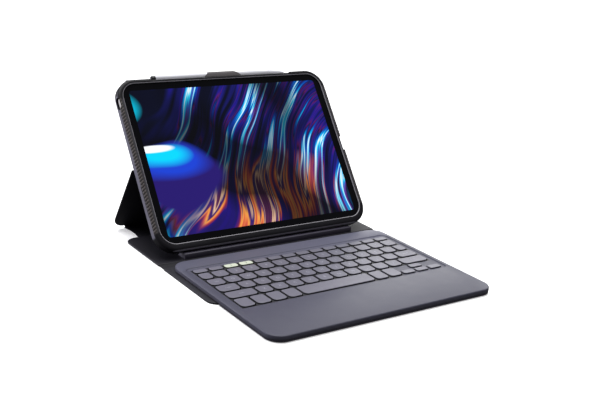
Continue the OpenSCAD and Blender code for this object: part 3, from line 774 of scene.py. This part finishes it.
def bumper():
    def outer(z, inset):
        return ring(CASE_W, CASE_D, CASE_R, z, inset, (0, CASE_MID))

    rings = [ring(*BACK_OPENING, SHELL_Z)]
    rings += [outer(z, inset) for inset, z in round_edge(BACK_EDGE_R, SHELL_Z, False)]
    for i in range(FRONT_EDGE_STEPS + 1):
        a = math.pi / 2 * i / FRONT_EDGE_STEPS
        rings.append(outer(LIP_Z - FRONT_EDGE_UP * (1 - math.sin(a)), FRONT_EDGE_IN * (1 - math.cos(a))))
    rings += [ring(*FRONT_OPENING, LIP_Z - drop, inset) for inset, drop in LIP_EDGE]
    rings += [ring(*TABLET_ROOM, ROOM_TOP), ring(*TABLET_ROOM, ROOM_LOW), ring(*BACK_OPENING, ROOM_LOW)]
    obj = mesh_object("bumper_shell", *loft(rings, loop=True), place=CASE, angle=35)
    cut(obj, bumper_openings(), CASE, 35)
    return finish_piece(obj, "case", BUMPER, "bumper", "bumper_frame")


bumper()


def power_button():
    """A stem in the tablet's pocket, and a wider face that shows in the bumper's opening."""
    face = prism(outline(10.4, 3.6, 1.7, (POWER_U, POWER_N), 6), "x", -TABLET_SIDE - 1.6, -TABLET_SIDE - 0.55)
    stem = prism(outline(9.4, 2.2, 1.05, (POWER_U, -3), 6), "x", -TABLET_SIDE - 0.7, -TABLET_SIDE - 0.1)
    obj = mesh_object("tablet_power_cap", *merged([face, stem]), place=CASE)
    bevelled(obj, 0.2)
    return finish_piece(obj, "tablet_power_button", SATIN, "tablet_metal", "tablet_power_button")


power_button()

# The clasp, from its foot at the back, round the stylus, to its hem at the front
CLASP_INNER_R, CLASP_T = 3.85, 0.65
CLASP_FOOT, CLASP_BACK, CLASP_HEM = 92.6, -9.1, 90.1
CLASP_NARROW, CLASP_FLARE = 15.6, 6.35
FLARE_TOP, FLARE_LEN = 91.2, 4.9
CLASP_ACROSS = (-1, -0.985, -0.6, 0, 0.6, 0.985, 1)
ROOT_HALF = 15


def clasp_root():
    """The rib on the bumper that the clasp folds on."""
    points = [(88.7, SHELL_Z), (90.2, SHELL_Z), (90.2, -9.1), (91.75, -9.1), (91.9, -8.95), (91.9, -8.6),
              (91.75, -8.45), (91.4, SHELL_Z), (90.9, -7.9), (88.7, -7.9)]
    obj = mesh_object("clasp_root_rib", *prism(points, "x", -ROOT_HALF, ROOT_HALF), place=CASE)
    return finish_piece(obj, "case", BUMPER, "bumper")


clasp_root()


def clasp_half_width(u, n):
    """The clasp flares towards the hem in front of the stylus, and is straight behind it."""
    if n <= STYLUS_N:
        return CLASP_NARROW
    return CLASP_NARROW + CLASP_FLARE * (1 - min(max((u - FLARE_TOP) / FLARE_LEN, 0), 1))


def clasp():
    """A tongue that hugs the stylus, from its root at the back to its wider hem at the front."""
    def around(r):
        arc = [math.radians(a) for a in range(-90, 91, 7)]
        return [(STYLUS_U + r * math.cos(a), STYLUS_N + r * math.sin(a)) for a in arc]

    inner = STYLUS_N + CLASP_INNER_R
    outer = inner + CLASP_T
    straight = [92.0, FLARE_TOP, 90.6]
    loop = [(CLASP_FOOT, CLASP_BACK)] + around(CLASP_INNER_R + CLASP_T) + [(u, outer) for u in straight]
    loop += [(CLASP_HEM + 0.15, outer), (CLASP_HEM, inner + 0.5)]
    loop += [(CLASP_HEM, inner + 0.15), (CLASP_HEM + 0.15, inner)]
    loop += [(u, inner) for u in reversed(straight)] + around(CLASP_INNER_R)[::-1]
    loop.append((CLASP_FOOT, CLASP_BACK + CLASP_T))
    rows = [[(s * clasp_half_width(u, n), u, n) for u, n in loop] for s in CLASP_ACROSS]
    obj = mesh_object("stylus_clasp_tongue", *loft(rows), place=CASE, angle=40)
    return finish_piece(obj, "clasp", CLASP, "clasp", "stylus_clasp")


clasp()


def stylus():
    """A plain rod with a dark domed cap on its left end and a cone with a rounded point on its right."""
    r, cap, tip = STYLUS_R, 5.0, 22.0
    dome = [(r * (1 - math.cos(a)), r * math.sin(a)) for a in (math.pi / 2 * i / 8 for i in range(9))]
    dome[0] = (0.0, 0.05)
    obj = mesh_object("stylus_cap_dome", *lathe(STYLUS_X0, dome + [(cap, r)]), place=CASE, angle=50)
    finish_piece(obj, "stylus", DARK_GLOSS, "stylus_dark", "stylus_cap")
    end = STYLUS_X1 - tip
    rod = [(0, r - 0.1), (0.12, r), (end - STYLUS_X0 - cap - 0.12, r), (end - STYLUS_X0 - cap, r - 0.1)]
    obj = mesh_object("stylus_rod", *lathe(STYLUS_X0 + cap, rod), place=CASE, angle=50)
    finish_piece(obj, "stylus", WHITE, "stylus_white", "stylus_barrel")
    cone = [(0, r - 0.1), (0.12, r), (1.5, r - 0.05), (8, r - 0.75), (15, 1.9), (19.5, 1.25), (20.6, 1.05),
            (21.5, 0.7), (21.9, 0.35), (22, 0.05)]
    obj = mesh_object("stylus_point", *lathe(end, cone), place=CASE, angle=50)
    finish_piece(obj, "stylus", WHITE, "stylus_white", "stylus_tip")


stylus()


def display():
    face = prism(outline(227.1, 157.8, 3.2, n=8), "z", 0.005, 0.03)
    obj = mesh_object("display_face", *face, place=CASE)
    return finish_piece(obj, "case", PICTURE, "tablet_screen")


display()


def ridge():
    """The bar that the case's lower edge leans on: upright in front, cut at the case's lean behind."""
    front, top, gap, half_w = -32.0, 7.5, 0.35, 101.5
    slope_y, slope_z = front + 9.57 - gap * math.sin(LEAN), 5.54 - gap * math.cos(LEAN)
    points = [(front, 1.9), (front, top - 0.6), (front + 0.18, top - 0.18), (front + 0.6, top),
              (slope_y - (top - slope_z) / math.tan(LEAN), top), (slope_y, slope_z),
              (front + 11, slope_z - 0.15), (front + 15, 1.9)]
    obj = mesh_object("support_ridge_bar", *prism(points, "x", -half_w, half_w))
    bevelled(obj, 0.35, 3, 25, 40)
    return finish_piece(obj, "base", RIDGE, "ridge_plastic", "support_ridge")


ridge()


# ---- keyboard ----

# widths of the keys in each row, from left to right
CELLS = [
    [FN_PITCH] * 14,
    [BLOCK_W - 13 * PITCH] + [PITCH] * 13,
    [17.7] + [PITCH] * 12 + [BLOCK_W - 17.7 - 12 * PITCH],
    [23.3] + [PITCH] * 11 + [BLOCK_W - 23.3 - 11 * PITCH],
    [31.7] + [PITCH] * 10 + [BLOCK_W - 31.7 - 10 * PITCH],
    [FN_PITCH] * 4 + [5 * FN_PITCH] + [FN_PITCH] * 5,
]


def cell(row, i, low=0.0, high=1.0):
    """Centre and size of one key's cell."""
    x0 = sum(CELLS[row][:i]) - BLOCK_W / 2
    w, d = CELLS[row][i], ROW_DEPTH[row]
    front = ROW_BACK - sum(ROW_DEPTH[:row + 1])
    return x0 + w / 2, front + d * (low + high) / 2, w, d * (high - low)


CAP_GAP_X, CAP_GAP_Y = 2.7, 2.8
# (inset, z) from a cap's skirt, over its rounded edge, to its slightly dished top
CAP_PROFILE = [(0.0, 4.9), (0.0, 6.62), (0.06, 6.80), (0.19, 6.93), (0.38, 7.02), (0.62, 7.05), (1.5, 7.02),
               (2.6, 6.99)]
POCKET_GAP, POCKET_LOW, POCKET_HIGH = 1.3, 3.75, 7.6
KEY_BACK_R = 2.2
SHORT_KEY = 9


def key_radii(depth, front_r, short_front_r):
    """Small corners at the back, larger ones at the front, less large on the short keys."""
    front = front_r if depth > SHORT_KEY else short_front_r
    return KEY_BACK_R, KEY_BACK_R, front, front


def key_cap(row, i, low=0.0, high=1.0):
    x, y, w, d = cell(row, i, low, high)
    w, d = w - CAP_GAP_X, d - CAP_GAP_Y
    radii = key_radii(d, 4.2, 2.7)
    return loft([ring(w, d, radii, z, inset, (x, y), 6) for inset, z in CAP_PROFILE])


def pocket(row, i, low=0.0, high=1.0):
    x, y, w, d = cell(row, i, low, high)
    w, d = w - POCKET_GAP, d - POCKET_GAP
    radii = key_radii(d, 3.9, 2.9)
    return loft([ring(w, d, radii, z, 0, (x, y), 5) for z in (POCKET_LOW, POCKET_HIGH)])


KEYS = {
    "function_keys": [(0, i) for i in (0, 1, 4, 5, 6, 7, 8, 9, 10, 11, 12, 13)],
    "device_key_1": [(0, 2)],
    "device_key_2": [(0, 3)],
    "number_keys": [(1, i) for i in range(13)],
    "delete_key": [(1, 13)],
    "tab_key": [(2, 0)],
    "upper_letter_keys": [(2, i) for i in range(1, 14)],
    "caps_key": [(3, 0)],
    "home_letter_keys": [(3, i) for i in range(1, 12)],
    "enter_key": [(3, 12)],
    "left_shift_key": [(4, 0)],
    "lower_letter_keys": [(4, i) for i in range(1, 11)],
    "right_shift_key": [(4, 11)],
    "globe_key": [(5, 0)],
    "control_key": [(5, 1)],
    "option_key": [(5, 2)],
    "left_command_key": [(5, 3)],
    "space_bar": [(5, 4)],
    "right_command_key": [(5, 5)],
    "right_option_key": [(5, 6)],
    "left_arrow_key": [(5, 7, 0, 0.5)],
    "up_arrow_key": [(5, 8, 0.5, 1)],
    "down_arrow_key": [(5, 8, 0, 0.5)],
    "right_arrow_key": [(5, 9, 0, 0.5)],
}
LEGENDS = {
    "number_keys": "`1234567890-=",
    "upper_letter_keys": "QWERTYUIOP[]\\",
    "home_letter_keys": "ASDFGHJKL;'",
    "lower_letter_keys": "ZXCVBNM,./",
    "device_key_1": "1",
    "device_key_2": "2",
    "tab_key": "tab",
    "delete_key": "del",
    "caps_key": "caps",
    "enter_key": "enter",
    "left_shift_key": "shift",
    "right_shift_key": "shift",
}


LEGEND_Z = 7.06
LETTER_SIZE, WORD_SIZE = 4.8, 3.4


def legend(text, x, y):
    """One printed character or word, lying just above a key's top."""
    curve = bpy.data.curves.new("legend", "FONT")
    curve.body = text
    curve.size = LETTER_SIZE if len(text) == 1 else WORD_SIZE
    curve.align_x, curve.align_y = "CENTER", "CENTER"
    obj = bpy.data.objects.new("legend", curve)
    bpy.context.scene.collection.objects.link(obj)
    mesh = bpy.data.meshes.new_from_object(obj.evaluated_get(bpy.context.evaluated_depsgraph_get()))
    verts = [(v.co.x + x, v.co.y + y, LEGEND_Z) for v in mesh.vertices]
    faces = [tuple(p.vertices) for p in mesh.polygons]
    bpy.data.objects.remove(obj)
    bpy.data.curves.remove(curve)
    bpy.data.meshes.remove(mesh)
    return verts, faces


def keys(node, places):
    """The caps of one key node and, where it has any, their legends."""
    pale = node.startswith("device")
    slot = "key_pale" if pale else "key"
    caps = mesh_object(node + "_caps", *merged([key_cap(*place) for place in places]), angle=50)
    finish_piece(caps, node, PALE_KEY if pale else KEY, slot, node)
    if node in LEGENDS:
        words = [LEGENDS[node]] if len(places) == 1 else list(LEGENDS[node])
        marks = [legend(word, *cell(*place)[:2]) for word, place in zip(words, places)]
        ink = mesh_object(node + "_legends", *merged(marks))
        finish_piece(ink, node, DARK_INK if pale else INK, slot)


for key_node, key_places in KEYS.items():
    keys(key_node, key_places)

# the well round the keys, and the power switch's and charging port's openings in the sides
WELL, WELL_MID = (240.6, 102.9, 6), -115.85
WELL_EDGE = [(-0.3, KB_TOP_Z), (0.0, KB_TOP_Z - 0.06), (0.25, KB_TOP_Z - 0.3), (0.55, WELL_Z + 0.25),
             (0.9, WELL_Z + 0.03), (1.2, WELL_Z)]
SWITCH_OPENING, SWITCH_TOP = (122, 127, -188.3, -180.7), 5.8
PORT_Y, PORT_Z, PORT_SIZE = -205, 3.3, (9.2, 3.2, 1.55)
KB_STEP, KB_FRONT_Z, KB_REAR_Z = FLAP_FRONT - 1, 0.6, 2.2


def keyboard_top():
    centre, half_keys = (0, KB_MID), (7, 8, 9)
    rings = [ring(KB_W, KB_D, KB_R, SPLIT_Z, 0.25, centre), ring(KB_W, KB_D, KB_R, SPLIT_Z + 0.25, 0, centre)]
    rings += [ring(KB_W, KB_D, KB_R, z, inset, centre) for inset, z in round_edge(1.3, KB_TOP_Z, True, 5)]
    rings += [ring(*WELL, z, inset, (0, WELL_MID)) for inset, z in WELL_EDGE]
    obj = mesh_object("keyboard_top_shell", *loft(rings), angle=40)
    parts = [pocket(row, i) for row in range(5) for i in range(len(CELLS[row]))]
    parts += [pocket(5, i) for i in range(7)]
    parts += [pocket(5, i, 0, 0.5) for i in half_keys] + [pocket(5, 8, 0.5, 1)]
    parts.append(block(*SWITCH_OPENING, SPLIT_Z - 1, SWITCH_TOP))
    cut(obj, parts, angle=40)
    return finish_piece(obj, "keyboard", KB_TOP, "kb_top", "kb_top_case")


keyboard_top()


def keyboard_bottom():
    """Thin at the back, where it lies on the flap, and full depth in front of it."""
    rear = slab(KB_W - 0.5, KB_D - 0.5, KB_R - 0.25, KB_REAR_Z, SPLIT_Z, 0.2, (0, KB_MID))
    d = KB_STEP - (KB_MID - KB_D / 2)
    radii = (0.5, 0.5, KB_R - 0.4, KB_R - 0.4)
    front = slab(KB_W - 0.8, d - 0.4, radii, KB_FRONT_Z, SPLIT_Z - 0.05, 0.1, (0, KB_STEP - d / 2),
                 edge_low=0.5)
    obj = mesh_object("keyboard_bottom_shell", *merged([rear, front]), angle=40)
    port = prism(outline(*PORT_SIZE, (PORT_Y, PORT_Z), 6), "x", 118, 128)
    cut(obj, [port, block(*SWITCH_OPENING, SPLIT_Z + 0.4, SWITCH_TOP)], angle=40)
    return finish_piece(obj, "keyboard", KB_LOW, "kb_bottom", "kb_bottom_case")


keyboard_bottom()


# ---- floor, light and camera ----

def floor():
    """Pale paper, hidden from bounced rays so that it doesn't light the object from below."""
    mesh = bpy.data.meshes.new("floor")
    half = 9.0
    corners = [(-half, -half, 0), (half, -half, 0), (half, half, 0), (-half, half, 0)]
    mesh.from_pydata(corners, [], [(0, 1, 2, 3)])
    obj = bpy.data.objects.new("floor", mesh)
    bpy.context.scene.collection.objects.link(obj)
    t = Nodes("floor_paper")
    colour = t.mix(t.spread(t.noise(3, 4), 0.3, 0.7, 0, 1), (0.86, 0.86, 0.865, 1), (0.885, 0.885, 0.89, 1))
    grain = t.bump(t.noise(400, 3), 0.03, 0.0002)
    paper = t.surface(colour, 0.75, grain, Specular_IOR_Level=0.2, Emission_Color=(1, 1, 1, 1),
                      Emission_Strength=0.40)
    mesh.materials.append(paper)
    obj.visible_diffuse = False
    obj.visible_glossy = False


floor()


def aimed(name, kind, place, target):
    """A lamp at a place, turned towards a target and hidden from the camera."""
    data = bpy.data.lights.new(name, kind)
    obj = bpy.data.objects.new(name, data)
    obj.location = place
    obj.rotation_euler = (Vector(target) - Vector(place)).to_track_quat("-Z", "Y").to_euler()
    bpy.context.scene.collection.objects.link(obj)
    obj.visible_camera = False
    return data


def area_light(name, place, target, size, power, colour=(1, 1, 1)):
    data = aimed(name, "AREA", place, target)
    data.shape = "RECTANGLE"
    data.size, data.size_y = size
    data.energy = power
    data.color = colour


overhead = aimed("overhead", "SUN", (0.0, 0.25, 1.4), (0, 0, 0))
overhead.energy = 3.8
overhead.angle = math.radians(60)
area_light("back_right", (1.7, 1.7, 0.65), (0.08, -0.15, 0.05), (2.6, 1.4), 30)
area_light("left", (-1.3, 1.1, 0.40), (-0.05, 0, 0.06), (1.5, 0.8), 20, (0.90, 0.88, 1.0))

world = bpy.data.worlds.new("studio")
world.use_nodes = True
background = world.node_tree.nodes["Background"]
background.inputs["Color"].default_value = (0.97, 0.97, 1.0, 1)
background.inputs["Strength"].default_value = 0.20
bpy.context.scene.world = world
bpy.context.scene.view_settings.view_transform = "Standard"


def camera():
    """A view from the front left, a little above, rolled slightly."""
    azimuth, pitch, roll = math.radians(35.518), math.radians(-17.397), math.radians(4.0016)
    ahead = Vector((math.sin(azimuth), math.cos(azimuth), 0))
    level = Vector((math.cos(azimuth), -math.sin(azimuth), 0))
    forward = ahead * math.cos(pitch) + Vector((0, 0, math.sin(pitch)))
    rise = level.cross(forward)
    right = level * math.cos(roll) + rise * math.sin(roll)
    up = right.cross(forward)
    data = bpy.data.cameras.new("camera")
    data.lens = 58.64
    data.sensor_width = 36
    obj = bpy.data.objects.new("camera", data)
    place = Matrix((right, up, -forward)).transposed().to_4x4()
    place.translation = Vector((-0.53006, -0.81764, 0.34922))
    obj.matrix_world = place
    bpy.context.scene.collection.objects.link(obj)
    bpy.context.scene.camera = obj


camera()
